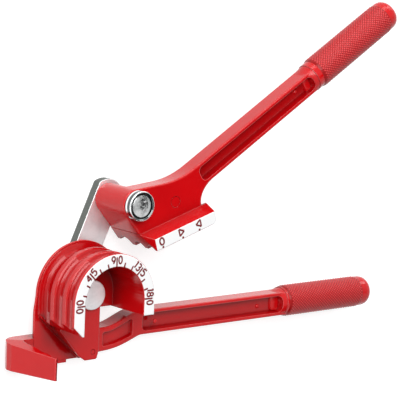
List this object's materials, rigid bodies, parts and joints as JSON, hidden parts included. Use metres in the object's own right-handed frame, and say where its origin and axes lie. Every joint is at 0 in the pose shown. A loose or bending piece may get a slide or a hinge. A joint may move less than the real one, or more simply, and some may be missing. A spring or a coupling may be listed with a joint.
{
  "type": "tube bender",
  "caption": "Lever tube bender: a grooved former with a printed degree scale and hook, and a grooved shoe on a swinging link, each with a round-gripped handle.",
  "frame": {"origin": "on the bending axis, at the rear end of the former's pin, which is the lowest face of the tool as it lies on its back", "axes": "+X runs along the lower handle towards its grip, +Y is up the scale from the lower handle, +Z runs along both pins towards the scale side"},
  "size_m": [0.2726, 0.2111, 0.0469],
  "materials": {
    "red_paint": "smooth gloss enamel on a casting",
    "steel": "ground",
    "chrome": "bright"
  },
  "bodies": {
    "former": {"former_handle": "red_paint"},
    "link": {"link_bar": "steel", "former_pin": "steel", "former_rear_washer": "steel", "former_spacer": "steel", "shoe_pin": "steel", "shoe_pin_cup": "chrome", "shoe_rear_washer": "steel", "shoe_spacer": "steel"},
    "shoe": {"shoe_handle": "red_paint"}
  },
  "joints": [
    {"name": "link_swing", "type": "hinge", "parent": "former", "child": "link", "pos_m": [0, 0, 0], "axis": [0, 0, 1], "range_deg": [-24, 114]},
    {"name": "shoe_swing", "type": "hinge", "parent": "link", "child": "shoe", "pos_m": [0.01899, 0.05334, 0], "axis": [0, 0, 1], "range_deg": [-43, 55]}
  ]
}
